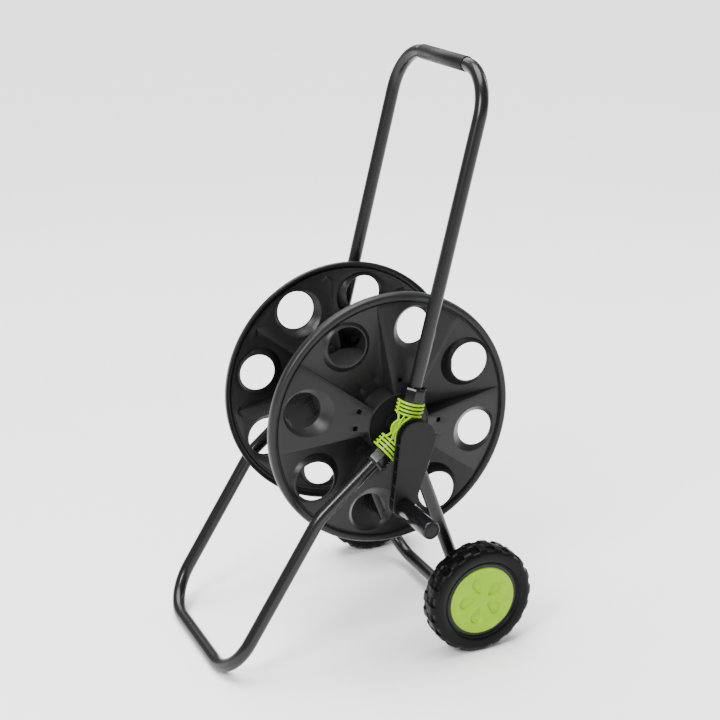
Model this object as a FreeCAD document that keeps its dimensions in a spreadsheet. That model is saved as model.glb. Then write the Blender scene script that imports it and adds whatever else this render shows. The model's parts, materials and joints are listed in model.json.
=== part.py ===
"""Garden hose reel cart: a steel tube frame on two wheels that carries a hose reel with a crank.

Millimetres. +Z is up, the reel turns about an axis along Y, the crank is on the -Y side, the foot
bar is at -X and the wheels are at +X. The origin is on the floor below the middle of the reel.
"""
import FreeCAD, Part
import math
import os
import re

import Sketcher

doc = FreeCAD.newDocument("hose_reel_cart")

# ---------------------------------------------------------------- driving dimensions
SIZES = {
    # general
    "axle_height": 352,
    "running_gap": 0.05,
    "fit_gap": 0.1,
    "side_gap": 0.5,
    # frame tubes
    "tube_radius": 10,
    "tube_wall": 1.2,
    "handle_lean": 14.3,
    "handle_reach": 527.4,
    "handle_corner": 67,
    "sleeve_margin": 1.3,
    "sleeve_wall": 1.4,
    "rear_lean": 19.8,
    "rear_reach": 350,
    "rear_corner": 60,
    "foot_lean": 50.4,
    "foot_knee": 180,
    "foot_lower_lean": 32.6,
    "foot_corner": 62,
    "knee_bend": 70,
    # brackets, clips and screws
    "bracket_gap": 2.5,
    "bearing_wall": 9.5,
    "bracket_recess": 0.3,
    "seat_floor": 1.5,
    "socket_wall": 6,
    "socket_sink": 0.7,
    "collar_step": 1.4,
    "collar_length": 22,
    "socket_gap": 5,
    "rib_thickness": 3.5,
    "rib_pitch": 5.5,
    "rib_gap": 0.5,
    "rib_height": 3.4,
    "rib_count": 4,
    "rib_overlap": 0.4,
    "spine_width": 4,
    "waist_width": 8.5,
    "waist_thickness": 3.6,
    "screw_setback": 11,
    "screw_radius": 2,
    "screw_head_radius": 4,
    "screw_head_height": 2.2,
    "screw_reach": 3,
    # reel flanges
    "flange_radius": 195,
    "rim_drop": 19,
    "rim_width": 15,
    "rim_depth": 12,
    "rim_round": 4.2,
    "sector_sink": 4,
    "hub_level": 115,
    "recess_drop": 37,
    "hub_radius": 49,
    "hub_wall": 2.8,
    "ledge_depth": 8,
    "skin": 2.5,
    "phase": 30,
    "hole_margin": 4.5,
    "cone_mouth": 29.5,
    "cone_foot": 36,
    "funnel_mouth": 28,
    "funnel_foot": 37,
    "funnel_depth": 9,
    "collar_wall": 2.4,
    "window_side": 7,
    "window_gap": 8,
    "window_angle": 11.5,
    # reel core and journals
    "core_radius": 60,
    "core_wall": 2.2,
    "core_end_gap": 2,
    "panel_gap": 0.6,
    "tab_width": 5,
    "tab_depth": 3,
    "journal_radius": 15,
    "journal_collar_width": 6,
    "journal_collar_depth": 3.5,
    "journal_tail": 14,
    "journal_stand": 6,
    "drive_side": 17,
    "drive_length": 15,
    # crank
    "crank_gap": 4,
    "crank_depth": 18,
    "crank_head": 28,
    "crank_tip": 17,
    "crank_lean": 12.9,
    "crank_reach": 103,
    "crank_plate": 3,
    "crank_inset": 6,
    "crank_ribs": 3,
    "crank_rib_thickness": 2.1,
    "crank_rib_gap": 1.2,
    "pin_radius": 4,
    "pin_head": 8,
    "grip_length": 86,
    "grip_root": 14.2,
    "grip_tip": 13.3,
    "grip_cap": 2.5,
    # wheels
    "wheel_radius": 85,
    "wheel_width": 42,
    "tyre_height": 27,
    "tyre_wall": 5,
    "tyre_lip": 4,
    "bead_width": 6,
    "bead_rise": 3,
    "shoulder_width": 12,
    "shoulder_rise": 3,
    "crown_width": 4,
    "crown_rise": 6,
    "tread_depth": 4,
    "tread_blocks": 20,
    "tread_pocket_long": 13,
    "tread_pocket_wide": 13,
    "tread_margin": 2,
    "hub_web": 5,
    "hub_rim": 3,
    "hub_margin": 5,
    "hub_boss": 14,
    "boss_sink": 18,
    "bush_radius": 8,
    "cap_border": 4.6,
    "cap_thickness": 3,
    "cap_sink": 4,
    "cap_ledge": 4,
    "cap_edge": 1,
    "cap_slope": 3,
    "cap_crown": 1,
    "axle_radius": 4,
    "nut_flat": 13,
    "nut_height": 6.5,
    "washer_radius": 8.5,
    "washer_thickness": 1.6,
    "bolt_head_height": 5.3,
    "spacer_radius": 10,
    "spacer_length": 21.1,
    # water way
    "pipe_radius": 9.5,
    "pipe_bore": 6,
    "branch_extra": 2,
    "elbow_setback": 33,
    "outlet_clock": 30,
    "outlet_setback": 10,
    "outlet_hex_flat": 24,
    "outlet_hex_height": 7,
    "nipple_radius": 8.3,
    "nipple_length": 24,
    "nipple_neck": 1.6,
    "nipple_flange": 2,
    "nipple_flange_height": 3,
    "neck_start": 4,
    "neck_end": 8,
    "neck_shoulder": 9.5,
    "nose_groove_low": 5,
    "nose_groove_high": 3,
    "nose_groove_depth": 1.8,
    "nose_lip": 0.4,
    "nose_taper": 1.2,
    "nose_seal_section": 0.85,
    "outlet_hex_gap": 1,
    "inlet_gap": 2,
    "inlet_depth": 24,
    "inlet_radius": 15,
    "inlet_wall": 4,
    "inlet_drop": 26,
    "branch_wall": 1.5,
    "ring_section": 0.95,
    "ring_play": 0.2,
    "ring_setback": 8,
    "ring_spacing": 7,
    "lock_ring_setback": 2.5,
    "lock_ring_width": 1.6,
    "lock_ring_depth": 3,
    "lock_groove_depth": 1.5,
}

sizes = doc.addObject("Spreadsheet::Sheet", "sizes")
for row, (name, value) in enumerate(SIZES.items(), start=1):
    sizes.set(f"A{row}", name)
    sizes.set(f"B{row}", str(value))
    sizes.setAlias(f"B{row}", name)

# Places and radii that follow from the sizes, from the reel outwards to the crank and the wheels.
FOLLOWING = {
    "rim_face": "hub_level - rim_drop",
    "sector_level": "rim_face - sector_sink",
    "recess_level": "hub_level - recess_drop",
    "hole_circle": "flange_radius - rim_width - cone_mouth - hole_margin",
    "journal_collar": "journal_radius + journal_collar_width",
    "bracket_inner": "hub_level + journal_collar_depth + bracket_gap",
    "bracket_radius": "journal_radius + bearing_wall",
    "socket_radius": "tube_radius + socket_wall",
    "leg_plane": "bracket_inner + socket_radius - socket_sink",
    "bracket_outer": "leg_plane + socket_radius - bracket_recess",
    "tube_inset": "bracket_radius + seat_floor",
    "sleeve_half": "leg_plane - handle_corner - sleeve_margin",
    "rib_start": "bracket_radius + rib_gap",
    "waist_outer": "rib_start + rib_thickness",
    "collar_flat": "socket_radius + collar_step",
    "collar_start": "rib_start + (rib_count - 1) * rib_pitch + rib_thickness",
    "collar_end": "collar_start + collar_length",
    "screw_place": "collar_start + screw_setback",
    "journal_end": "bracket_outer + journal_stand",
    "crank_inner": "journal_end + crank_gap",
    "wheel_offset": "leg_plane + tube_radius + spacer_length",
    "tyre_bore": "wheel_radius - tyre_height",
    "cap_radius": "tyre_bore - cap_border",
    "pipe_elbow": "recess_level - elbow_setback",
    "outlet_seat": "core_radius - outlet_setback",
    "inlet_inner": "journal_end + inlet_gap",
    "pipe_end": "inlet_inner + inlet_depth",
    "ring_first": "inlet_inner + ring_setback",
    "ring_second": "ring_first + ring_spacing",
    "lock_ring_place": "inlet_inner + lock_ring_setback",
}


# ---------------------------------------------------------------- helpers
def linked(text):
    """Point every size name in a formula at its cell in the sheet."""
    def swap(word):
        if word[0] in FOLLOWING:
            return f"({linked(FOLLOWING[word[0]])})"
        return "sizes." + word[0] if word[0] in SIZES else word[0]
    return re.sub(r"[a-z_]+", swap, str(text))


places = doc.addObject("App::FeaturePython", "places")
for name, formula in FOLLOWING.items():
    places.addProperty("App::PropertyFloat", name)
    places.setExpression(name, linked(formula))
doc.recompute()


def size(name):
    """Read one size from the sheet, or one that follows from it."""
    return float(getattr(places if name in FOLLOWING else sizes, name))


def bind(item, **formulas):
    for key, text in formulas.items():
        item.setExpression(key.replace("__", "."), linked(text))
    return item


def solid(kind, name, place=None, **formulas):
    """Add a Part primitive whose sizes and placement are formulas."""
    item = bind(doc.addObject("Part::" + kind, name), **formulas)
    if place:
        bind(item, Placement=place)
    return item


def joined(name, pieces, place=None):
    item = doc.addObject("Part::MultiFuse", name)
    item.Shapes = pieces
    item.Refine = True
    if place:
        bind(item, Placement=place)
    return item


def cut(name, base, tools, place=None):
    item = doc.addObject("Part::Cut", name)
    item.Base = base
    item.Tool = tools[0] if len(tools) == 1 else joined(name + "_tools", tools)
    if place:
        bind(item, Placement=place)
    return item


def ring(name, outer, inner, height, place=None, angle=360):
    """A round tube or washer, or a sector of one."""
    rim = solid("Cylinder", name + "_outer", Radius=outer, Height=height, Angle=angle)
    core = solid("Cylinder", name + "_inner", at(z=-1), Radius=inner, Height=f"{height} + 2")
    return cut(name, rim, [core], place)


def mirrored(name, source):
    """The same piece on the other side of the cart."""
    item = doc.addObject("Part::Mirroring", name)
    item.Source = source
    item.Normal = (0, 1, 0)
    return item


def at(x=0, y=0, z=0, turn="rotation(vector(0; 0; 1); 0)"):
    return f"placement(vector({x}; {y}; {z}); {turn})"


def clock(angle):
    """Turn a piece's own +Z to a direction across the reel axis, clockwise from straight up."""
    return f"rotation(vector(0; 0; 1); -({angle})) * rotation(vector(1; 0; 0); -90)"


# Side pieces are drawn with +Z outwards along the reel axis, then stood on the crank side.
ON_CRANK_SIDE = at(z="axle_height", turn="rotation(vector(1; 0; 0); 90)")
ON_INLET_SIDE = at(z="axle_height", turn="rotation(vector(1; 0; 0); -90)")
LEGS = {"handle": "handle_lean", "rear_leg": "180 - rear_lean", "foot": "180 + foot_lean"}
# The wheels stand on the floor, so their centres are as far down the rear legs as their radius allows.
WHEEL_PLACE = "((axle_height - wheel_radius) / cos(rear_lean))"


def origin_plane(body, role):
    return [feature for feature in body.Origin.OriginFeatures if feature.Role == role][0]


def sketch_on(body, role, name, **formulas):
    sketch = body.newObject("Sketcher::SketchObject", name)
    sketch.AttachmentSupport = [(origin_plane(body, role), "")]
    sketch.MapMode = "FlatFace"
    return bind(sketch, **formulas)


def place_point(sketch, edge, end, x, y):
    """Fix one end of an edge at a formula for each coordinate."""
    now = sketch.getPoint(edge, end)
    for kind, value, text in (("DistanceX", now.x, x), ("DistanceY", now.y, y)):
        index = sketch.addConstraint(Sketcher.Constraint(kind, -1, 1, edge, end, value))
        sketch.setExpression(f"Constraints[{index}]", linked(text))


def outline(sketch, points):
    """A closed outline of straight lines through points given as formulas."""
    count = len(points)
    start = [FreeCAD.Vector(1 + i, 1 + i * i, 0) for i in range(count)]
    for i in range(count):
        sketch.addGeometry(Part.LineSegment(start[i], start[(i + 1) % count]), False)
    for i in range(count):
        sketch.addConstraint(Sketcher.Constraint("Coincident", i, 2, (i + 1) % count, 1))
    for i, (x, y) in enumerate(points):
        place_point(sketch, i, 1, x, y)


def circle(sketch, x, y, radius):
    edge = sketch.addGeometry(Part.Circle(FreeCAD.Vector(1, 1, 0), FreeCAD.Vector(0, 0, 1), 5), False)
    place_point(sketch, edge, 3, x, y)
    index = sketch.addConstraint(Sketcher.Constraint("Radius", edge, 5.0))
    sketch.setExpression(f"Constraints[{index}]", linked(radius))


def turned(name, points, place=None):
    """A piece turned about its own Z axis from a half section (radius, height)."""
    body = doc.addObject("PartDesign::Body", name)
    profile = sketch_on(body, "XZ_Plane", name + "_section")
    outline(profile, points)
    turn = body.newObject("PartDesign::Revolution", name + "_turn")
    turn.Profile = profile
    turn.ReferenceAxis = (profile, ["V_Axis"])
    turn.Angle = 360
    if place:
        bind(body, Placement=place)
    return body


nodes = []


def node(item):
    """Keep a finished piece: its name is its file's name."""
    nodes.append(item)
    return item


# ---------------------------------------------------------------- frame tubes
def u_tube(name, lean, reach, corner):
    """A flat U of tube that straddles the reel: both legs start at the reel axis."""
    body = doc.addObject("PartDesign::Body", name)
    path = sketch_on(body, "YZ_Plane", name + "_path")
    side = size("leg_plane")
    top = size(reach)
    bend = size(corner)
    low = size("tube_inset")
    stops = [(-side, low), (-side, top - bend), (bend - side, top),
             (side - bend, top), (side, top - bend), (side, low)]
    points = [FreeCAD.Vector(*stop, 0) for stop in stops]
    mid = bend * (1 - math.sqrt(0.5))
    crowns = [FreeCAD.Vector(way * (side - mid), top - mid, 0) for way in (-1, 1)]
    path.addGeometry(Part.LineSegment(points[0], points[1]), False)
    path.addGeometry(Part.Arc(points[1], crowns[0], points[2]), False)
    path.addGeometry(Part.LineSegment(points[2], points[3]), False)
    path.addGeometry(Part.Arc(points[3], crowns[1], points[4]), False)
    path.addGeometry(Part.LineSegment(points[4], points[5]), False)
    straight = f"{reach} - {corner}"
    formulas = [("-leg_plane", "tube_inset"), ("-leg_plane", straight), (f"{corner} - leg_plane", reach),
                (f"leg_plane - {corner}", reach), ("leg_plane", straight), ("leg_plane", "tube_inset")]
    for edge, end, (x, y) in zip((0, 0, 2, 2, 4, 4), (1, 2, 1, 2, 1, 2), formulas):
        place_point(path, edge, end, x, y)
    for arc in (1, 3):
        ends = (1, 2) if path.getPoint(arc, 1).distanceToPoint(points[arc]) < 1 else (2, 1)
        path.addConstraint(Sketcher.Constraint("Coincident", arc - 1, 2, arc, ends[0]))
        path.addConstraint(Sketcher.Constraint("Coincident", arc, ends[1], arc + 1, 1))
        index = path.addConstraint(Sketcher.Constraint("Radius", arc, bend))
        path.setExpression(f"Constraints[{index}]", linked(corner))
    section = sketch_on(body, "XY_Plane", name + "_section", AttachmentOffset=at(z="tube_inset"))
    circle(section, "0", "-leg_plane", "tube_radius")
    circle(section, "0", "-leg_plane", "tube_radius - tube_wall")
    doc.recompute()
    pipe = body.newObject("PartDesign::AdditivePipe", name + "_pipe")
    pipe.Profile = section
    pipe.Spine = (path, [f"Edge{i}" for i in range(1, 6)])
    bind(body, Placement=at(z="axle_height", turn=f"rotation(vector(0; 1; 0); {lean})"))
    return body


def rounded_path(corners, bends):
    """A wire through the corners, each inner corner rounded with its own radius."""
    edges = []
    start = corners[0]
    for before, corner, after, bend in zip(corners, corners[1:], corners[2:], bends):
        arrive = (corner - before).normalize()
        leave = (after - corner).normalize()
        half_turn = arrive.getAngle(leave) / 2
        first = corner - arrive * bend * math.tan(half_turn)
        last = corner + leave * bend * math.tan(half_turn)
        inward = (leave - arrive).normalize()
        middle = corner + inward * bend * (1 / math.cos(half_turn) - 1)
        edges.append(Part.LineSegment(start, first).toShape())
        edges.append(Part.Arc(first, middle, last).toShape())
        start = last
    edges.append(Part.LineSegment(start, corners[-1]).toShape())
    return Part.Wire(edges)


def foot_tube():
    """A U of tube with a knee in each leg; its bar lies on the floor. Its path isn't flat."""
    lean = math.radians(size("foot_lean"))
    upper = FreeCAD.Vector(-math.sin(lean), 0, -math.cos(lean))
    slope = math.radians(size("foot_lower_lean"))
    axle = FreeCAD.Vector(0, 0, size("axle_height"))
    top = axle + upper * size("tube_inset")
    knee = axle + upper * size("foot_knee")
    drop = knee.z - size("tube_radius")
    bar = knee + FreeCAD.Vector(-drop * math.tan(slope), 0, -drop)
    side = FreeCAD.Vector(0, size("leg_plane"), 0)
    corners = [top - side, knee - side, bar - side, bar + side, knee + side, top + side]
    bends = [size(bend) for bend in ("knee_bend", "foot_corner", "foot_corner", "knee_bend")]
    path = rounded_path(corners, bends)
    pipes = []
    for radius in (size("tube_radius"), size("tube_radius") - size("tube_wall")):
        section = Part.Wire([Part.Circle(corners[0], upper, radius).toShape()])
        pipes.append(path.makePipeShell([section], True, False))
    tube = doc.addObject("Part::Feature", "foot_tube_bent")
    tube.Shape = pipes[0].cut(pipes[1])
    return tube


def cross_hole(name, lean, distance, radius, half_length):
    """A hole drilled along Y, through both legs of one U."""
    leg = at(z="axle_height", turn=f"rotation(vector(0; 1; 0); {lean})")
    across = at(y=f"-({half_length})", z=distance, turn="rotation(vector(1; 0; 0); -90)")
    return solid("Cylinder", name, f"{leg} * {across}", Radius=radius, Height=f"2 * ({half_length})")


def screw_hole(leg):
    return cross_hole(leg + "_screw_hole", LEGS[leg], "screw_place", "screw_radius + fit_gap", "leg_plane")


node(cut("handle_tube", u_tube("handle_bent", "handle_lean", "handle_reach", "handle_corner"),
         [screw_hole("handle")]))
axle_hole = cross_hole("axle_hole", LEGS["rear_leg"], WHEEL_PLACE, "axle_radius + fit_gap",
                       "leg_plane + 2 * tube_radius")
node(cut("rear_leg_tube", u_tube("rear_leg_bent", "180 - rear_lean", "rear_reach", "rear_corner"),
         [screw_hole("rear_leg"), axle_hole]))
node(cut("foot_tube", foot_tube(), [screw_hole("foot")]))
HANDLE_FRAME = at(z="axle_height", turn="rotation(vector(0; 1; 0); handle_lean)")
HANDLE_BAR = at(y="-sleeve_half", z="handle_reach", turn="rotation(vector(1; 0; 0); -90)")
node(ring("handle_grip", "tube_radius + sleeve_wall", "tube_radius + running_gap",
          "2 * sleeve_half", f"{HANDLE_FRAME} * {HANDLE_BAR}"))


# ---------------------------------------------------------------- brackets, clips and screws
def leg_point(angle, distance, height):
    """A placement on a leg's line, square to the leg."""
    return at(f"({distance}) * sin({angle})", f"({distance}) * cos({angle})", height, clock(angle))


def screw_spot(angle, height):
    """A placement on a leg's line at its screw, along the reel axis."""
    return at(f"screw_place * sin({angle})", f"screw_place * cos({angle})", height)


def bracket():
    """Three tube sockets round the reel bearing, each with an eight-sided collar at its mouth."""
    plus = [solid("Cylinder", "bracket_middle", at(z="bracket_inner"), Radius="bracket_radius",
                  Height="bracket_outer - bracket_inner")]
    minus = [solid("Cylinder", "bracket_bearing", at(z="bracket_inner - 1"),
                   Radius="journal_radius + running_gap", Height="bracket_outer - bracket_inner + 2")]
    for leg, angle in LEGS.items():
        mouth = leg_point(angle, "journal_radius + socket_gap", "leg_plane")
        plus.append(solid("Cylinder", leg + "_socket", mouth, Radius="socket_radius",
                          Height="collar_end - journal_radius - socket_gap - 1"))
        collar = solid("Prism", leg + "_collar", f"{leg_point(angle, 'collar_start', 'leg_plane')} * "
                       f"{at(turn='rotation(vector(0; 0; 1); 22.5)')}",
                       Circumradius="collar_flat / cos(22.5)", Height="collar_end - collar_start")
        collar.Polygon = 8
        plus.append(collar)
        minus.append(solid("Cylinder", leg + "_seat", leg_point(angle, "tube_inset", "leg_plane"),
                           Radius="tube_radius + running_gap", Height="collar_end"))
        spot = screw_spot(angle, "leg_plane - collar_flat - 1")
        minus.append(solid("Cylinder", leg + "_screw_way", spot, Radius="screw_radius", Height="collar_flat"))
        minus.append(solid("Cylinder", leg + "_screw_sink", spot, Radius="screw_head_radius + fit_gap",
                           Height="screw_head_height + 1"))
    return cut("crank_side_bracket", joined("bracket_solid", plus), minus, ON_CRANK_SIDE)


def clip():
    """A ribbed clip that hugs the handle and foot sockets and bridges them beside the reel axis."""
    pieces = []
    outer = "socket_radius + fit_gap + rib_height"
    for leg in ("handle", "foot"):
        angle = LEGS[leg]
        for i in range(int(size("rib_count"))):
            start = f"rib_start + {i} * rib_pitch"
            half = f"{leg_point(angle, start, 'leg_plane')} * {at(turn='rotation(vector(0; 0; 1); 180)')}"
            pieces.append(ring(f"{leg}_rib_{i + 1}", outer, "socket_radius + fit_gap", "rib_thickness", half,
                               angle=180))
        spine = (f"{leg_point(angle, 'rib_start', 'leg_plane')} * "
                 f"{at('-spine_width / 2', f'-({outer} - rib_overlap)')}")
        pieces.append(solid("Box", leg + "_spine", spine, Length="spine_width",
                            Width="rib_height - 2 * rib_overlap",
                            Height="(rib_count - 1) * rib_pitch + rib_thickness"))
    level = "leg_plane + socket_radius + fit_gap"
    sweep = "360 - (180 + foot_lean) + handle_lean"
    turn = "rotation(vector(0; 0; 1); 90 - handle_lean)"
    pieces.append(ring("clip_waist", "waist_outer", "waist_outer - waist_width", "waist_thickness",
                       at(z=level, turn=turn), angle=sweep))
    return joined("crank_side_clip", pieces, ON_CRANK_SIDE)


def bracket_screws():
    """Six self-tapping screws, driven from the reel side through the collars into the tubes."""
    screws = []
    level = "leg_plane - collar_flat"
    for leg, angle in LEGS.items():
        spot = screw_spot(angle, level)
        head = solid("Cylinder", leg + "_screw_head", spot, Radius="screw_head_radius",
                     Height="screw_head_height")
        shank = solid("Cylinder", leg + "_screw_shank", spot, Radius="screw_radius",
                      Height="collar_flat - tube_radius + tube_wall + screw_reach")
        screws.append(joined(leg + "_screw", [head, shank]))
    group = joined("crank_side_screws", screws, ON_CRANK_SIDE)
    return joined("bracket_screws", [group, mirrored("inlet_side_screws", group)])


crank_side_bracket = node(bracket())
node(mirrored("inlet_side_bracket", crank_side_bracket))
crank_side_clip = node(clip())
node(mirrored("inlet_side_clip", crank_side_clip))
node(bracket_screws())


# ---------------------------------------------------------------- reel flanges and core
def cone(low_radius, high_radius, low, high, angle=360):
    return Part.makeCone(low_radius, high_radius, high - low, FreeCAD.Vector(0, 0, low),
                         FreeCAD.Vector(0, 0, 1), angle)


def disc(radius, low, high):
    return Part.makeCylinder(radius, high - low, FreeCAD.Vector(0, 0, low))


def spin(shape, angle):
    copy = shape.copy()
    copy.rotate(FreeCAD.Vector(), FreeCAD.Vector(0, 0, 1), angle)
    return copy


def flange_shape():
    """A thin moulding of eight 45 degree ramps between rim and hub.

    Four ramps rise to the hub's level and four sink below the rim, so the steps between them die
    away at the rim. Holes in the sunk ramps stand out as cones, and those in the raised ones sink
    in as funnels.
    """
    radius = size("flange_radius")
    rim_top = size("rim_face")
    rim_low = rim_top - size("rim_depth")
    edge = radius - size("rim_width") + 1
    rim_level = size("sector_level")
    top = size("hub_level")
    sunk = size("recess_level")
    hub = size("hub_radius")
    skin = size("skin")
    wall = size("hub_wall")
    reach = size("hole_circle")
    core = size("core_radius") - size("core_wall") - size("panel_gap") / 2
    down = FreeCAD.Vector(0, 0, -skin)

    rise = cone(edge, hub, rim_level, top, 45)
    raised = rise.cut(cone(edge, hub, rim_level - skin, top - skin))
    dip = cone(hub, edge, sunk, rim_level, 45)
    sunken = dip.translated(down).cut(cone(hub, edge, sunk, rim_level))
    first = size("phase") - 22.5
    pieces = []
    for quarter in range(4):
        pieces.append(spin(sunken, first + 90 * quarter))
        pieces.append(spin(raised, first + 45 + 90 * quarter))
    step = Part.makePolygon([
        FreeCAD.Vector(hub - 1, -skin / 2, sunk - skin + 0.3),
        FreeCAD.Vector(edge, -skin / 2, rim_level - skin + 0.3),
        FreeCAD.Vector(edge, -skin / 2, rim_level - 0.3),
        FreeCAD.Vector(hub - 1, -skin / 2, top - 0.3),
        FreeCAD.Vector(hub - 1, -skin / 2, sunk - skin + 0.3)])
    step = Part.Face(step).extrude(FreeCAD.Vector(0, skin, 0))
    pieces += [spin(step, first + 45 * i) for i in range(8)]
    rim = disc(radius, rim_low, rim_top).cut(disc(radius - size("rim_width"), rim_low - 1, rim_top + 1))
    outer_edges = [line for line in rim.Edges if line.Length > 2 * math.pi * (radius - 1)]
    top_edge = [line for line in outer_edges if line.BoundBox.ZMax > rim_top - 1]
    rim = rim.makeFillet(size("rim_round"), top_edge)
    channel = disc(radius - skin, rim_low - 1, rim_top - 2 * skin)
    pieces.append(rim.cut(channel.cut(disc(edge + skin, rim_low - 2, rim_top))))
    pieces.append(disc(hub, sunk - skin, top).cut(disc(hub - wall, sunk - skin - 1, top - skin)))
    ledge = disc(core, sunk - skin - size("ledge_depth"), sunk + skin)
    pieces.append(ledge.cut(disc(core - size("collar_wall"), 0, top)))
    body = pieces[0].fuse(pieces[1:])

    level = rim_level - (rim_level - sunk) * (edge - reach) / (edge - hub)
    slope = (size("cone_foot") - size("cone_mouth")) / (rim_top - level)
    foot = size("cone_mouth") + slope * (rim_top - sunk)
    spout = cone(foot + skin, size("cone_mouth") + skin, sunk, rim_top)
    spout = spout.cut(disc(radius, 0, rim_top).cut(cone(hub, edge, sunk - skin, rim_level - skin).fuse(
        disc(radius, rim_level - skin, rim_top))).translated(FreeCAD.Vector(-reach, 0, 0)))
    hollow = cone(foot, size("cone_mouth"), sunk, rim_top)
    hollow = hollow.fuse(disc(size("cone_mouth"), rim_top - 0.1, rim_top + 1))
    level = rim_level + (top - rim_level) * (edge - reach) / (edge - hub)
    floor = level - size("funnel_depth")
    flare = (size("funnel_foot") - size("funnel_mouth")) / size("funnel_depth")
    wide = size("funnel_mouth") + flare * (top - floor)
    funnel = cone(size("funnel_mouth") + skin, wide + skin, floor, top)
    funnel = funnel.common(cone(edge, hub, rim_level, top).translated(FreeCAD.Vector(-reach, 0, 0)))
    throat = cone(size("funnel_mouth"), wide, floor, top)
    throat = throat.fuse(disc(size("funnel_mouth"), sunk - skin, floor + 0.1))
    holes = []
    for quarter in range(4):
        angle = size("phase") + 90 * quarter
        out = FreeCAD.Vector(reach, 0, 0)
        body = body.fuse([spin(spout.translated(out), angle), spin(funnel.translated(out), angle + 45)])
        holes += [spin(hollow.translated(out), angle), spin(throat.translated(out), angle + 45)]
    side = size("window_side")
    place = size("core_radius") + size("window_gap")
    window = Part.makeBox(side, side, top, FreeCAD.Vector(place - side / 2, -side / 2, sunk - 2 * skin))
    for i in range(8):
        for way in (-1, 1):
            holes.append(spin(window, size("phase") + 45 * i + way * (22.5 - size("window_angle"))))
    holes.append(disc(size("journal_radius"), 0, top + 1))
    return body.cut(holes).removeSplitter()


flange = doc.addObject("Part::Feature", "crank_side_flange")
flange.Shape = flange_shape()
bind(flange, Placement=ON_CRANK_SIDE)
node(flange)
node(mirrored("inlet_side_flange", flange))


def core_panel(number):
    """A quarter of the core, with two hooks at each end that pass through the flange windows."""
    name = f"core_panel_{number}"
    ends = "recess_level - skin - core_end_gap"
    gap_angle = "panel_gap / core_radius * 180 / pi"
    middle = f"phase + {90 * (number - 1)}"
    turn = f"rotation(vector(0; 0; 1); {middle} - 45 + {gap_angle} / 2)"
    shell = ring(name + "_shell", "core_radius", "core_radius - core_wall", f"2 * ({ends})",
                 at(z=f"-({ends})", turn=turn), angle=f"90 - {gap_angle}")
    pieces = [shell]
    for end in (-1, 1):
        for way in (-1, 1):
            side = f"rotation(vector(0; 0; 1); {middle} + {way} * (22.5 - window_angle))"
            tag = f"{name}_hook_{'out' if end > 0 else 'in'}_{'left' if way < 0 else 'right'}"
            low = f"{ends} - tab_depth" if end > 0 else f"-({ends})"
            root_spot = at("core_radius - core_wall / 2", "-tab_width / 2", low)
            root = solid("Box", tag + "_root", f"{at(turn=side)} * {root_spot}",
                         Length="window_gap + tab_depth / 2 + core_wall / 2", Width="tab_width",
                         Height="tab_depth")
            stem_low = f"{ends} - tab_depth" if end > 0 else "-(recess_level + skin)"
            stem_spot = at("core_radius + window_gap - tab_depth / 2", "-tab_width / 2", stem_low)
            stem = solid("Box", tag + "_stem", f"{at(turn=side)} * {stem_spot}", Length="tab_depth",
                         Width="tab_width", Height="skin * 2 + core_end_gap + tab_depth")
            pieces += [root, stem]
    return joined(name, pieces)


panels = [core_panel(number) for number in range(1, 5)]
for panel in panels:
    bind(panel, Placement=ON_CRANK_SIDE)


# ---------------------------------------------------------------- journals and crank
def journal(name, tail_end, bore, place):
    """The bearing stub that plugs into a flange's hub and runs in the bracket."""
    start = "hub_level - journal_tail"
    return turned(name, [
        (bore, start), ("journal_radius", start), ("journal_radius", "hub_level"),
        ("journal_collar", "hub_level"), ("journal_collar", "hub_level + journal_collar_depth"),
        ("journal_radius", "hub_level + journal_collar_depth"),
        ("journal_radius", tail_end), (bore, tail_end)], place)


spindle = journal("spindle_round", "journal_end", "pin_radius", None)
drive = solid("Box", "spindle_drive", at("-drive_side / 2", "-drive_side / 2", "journal_end - 1"),
              Length="drive_side", Width="drive_side", Height="drive_length + 1")
node(joined("crank_spindle", [spindle, drive], ON_CRANK_SIDE))
node(journal("inlet_journal", "journal_end - side_gap", "pipe_radius + running_gap", ON_INLET_SIDE))


def arm_outline(sketch, inset):
    """A round head and a smaller round tip joined by two tangent lines; the tip is straight below.

    The named inset, if there is one, draws the same shape smaller all round.
    """
    head = size("crank_head") - (size(inset) if inset else 0)
    tip = size("crank_tip") - (size(inset) if inset else 0)
    reach = size("crank_reach")
    tilt = math.asin((head - tip) / reach)
    corner = FreeCAD.Vector(math.cos(tilt), -math.sin(tilt), 0)
    sides = [FreeCAD.Vector(way * corner.x, corner.y, 0) for way in (1, -1)]
    low = FreeCAD.Vector(0, -reach, 0)
    right = [sides[0] * head, low + sides[0] * tip]
    left = [sides[1] * head, low + sides[1] * tip]
    sketch.addGeometry(Part.Arc(right[0], FreeCAD.Vector(0, head, 0), left[0]), False)
    sketch.addGeometry(Part.LineSegment(left[0], left[1]), False)
    sketch.addGeometry(Part.Arc(left[1], low - FreeCAD.Vector(0, tip, 0), right[1]), False)
    sketch.addGeometry(Part.LineSegment(right[1], right[0]), False)
    for edge in range(4):
        after = (edge + 1) % 4
        sketch.addConstraint(Sketcher.Constraint("Tangent", edge, 2, after, 1))
    place_point(sketch, 0, 3, "0", "0")
    place_point(sketch, 2, 3, "0", "-crank_reach")
    for edge, name, radius in ((0, "crank_head", head), (2, "crank_tip", tip)):
        index = sketch.addConstraint(Sketcher.Constraint("Radius", edge, radius))
        sketch.setExpression(f"Constraints[{index}]", linked(f"{name} - {inset}" if inset else name))


def arm_plate(name, inset, low, height):
    body = doc.addObject("PartDesign::Body", name)
    sketch = sketch_on(body, "XY_Plane", name + "_outline", AttachmentOffset=at(z=low))
    arm_outline(sketch, inset)
    pad = body.newObject("PartDesign::Pad", name + "_pad")
    pad.Profile = sketch
    bind(pad, Length=height)
    return body


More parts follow.
